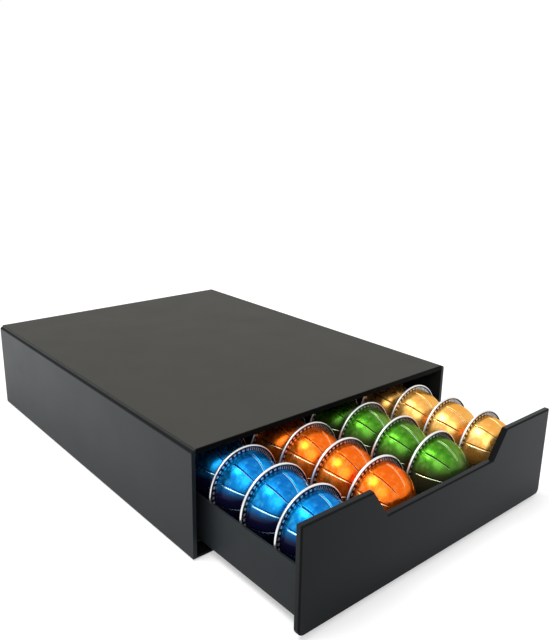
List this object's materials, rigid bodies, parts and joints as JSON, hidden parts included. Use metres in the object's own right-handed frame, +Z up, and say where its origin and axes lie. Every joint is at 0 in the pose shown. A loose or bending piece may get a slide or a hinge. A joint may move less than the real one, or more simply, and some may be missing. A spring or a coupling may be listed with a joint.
{
  "type": "coffee pod drawer",
  "caption": "Low flat-topped casing with a sliding notched-front drawer that holds coffee pods on edge in rows of cradles, under a coffee machine.",
  "frame": {"origin": "on the worktop, in the middle of the footprint that the casing and the drawer, as it stands open, have together", "axes": "+Z up, -Y the drawer's front and the way it opens, +X to the right seen from the front"},
  "size_m": [0.28, 0.478, 0.0869],
  "materials": {
    "casing_top": "satin dark warm grey",
    "casing_side": "satin charcoal",
    "casing_inner": "matt black",
    "front_panel": "satin charcoal",
    "drawer_sheet": "satin charcoal paint",
    "rack": "matt black",
    "runner": "black paint",
    "shoe": "natural black",
    "rubber": "matt",
    "fastener": "dark zinc",
    "blue_pod": "satin coloured foil",
    "orange_pod": "satin coloured foil",
    "green_pod": "satin coloured foil",
    "gold_pod": "satin coloured foil"
  },
  "bodies": {
    "casing": {"back_panel": "casing_inner", "back_panel_screws": "fastener", "base_panel": "casing_inner", "base_panel_screws": "fastener", "front_left_foot": "rubber", "front_right_foot": "rubber", "left_runner": "runner", "left_side_panel": "casing_side", "rear_left_foot": "rubber", "rear_right_foot": "rubber", "right_runner": "runner", "right_side_panel": "casing_side", "runner_screws": "fastener", "top_panel": "casing_top", "top_panel_screws": "fastener"},
    "drawer": {"blue_pod_1": "blue_pod", "blue_pod_2": "blue_pod", "blue_pod_3": "blue_pod", "blue_pod_4": "blue_pod", "drawer_back": "drawer_sheet", "drawer_back_rivets": "fastener", "drawer_floor": "drawer_sheet", "drawer_floor_rivets": "fastener", "front_panel": "front_panel", "front_panel_screws": "fastener", "gold_pod_1": "gold_pod", "gold_pod_2": "gold_pod", "gold_pod_3": "gold_pod", "gold_pod_4": "gold_pod", "green_pod_1": "green_pod", "green_pod_2": "green_pod", "green_pod_3": "green_pod", "green_pod_4": "green_pod", "left_drawer_side": "drawer_sheet", "left_rear_bumper": "rubber", "left_rear_shoe": "shoe", "orange_pod_1": "orange_pod", "orange_pod_2": "orange_pod", "orange_pod_3": "orange_pod", "orange_pod_4": "orange_pod", "pod_rack": "rack", "right_drawer_side": "drawer_sheet", "right_rear_bumper": "rubber", "right_rear_shoe": "shoe"}
  },
  "joints": [
    {"name": "drawer_slide", "type": "slide", "parent": "casing", "child": "drawer", "axis": [0, -1, 0], "range_m": [-0.108, 0.172]}
  ]
}
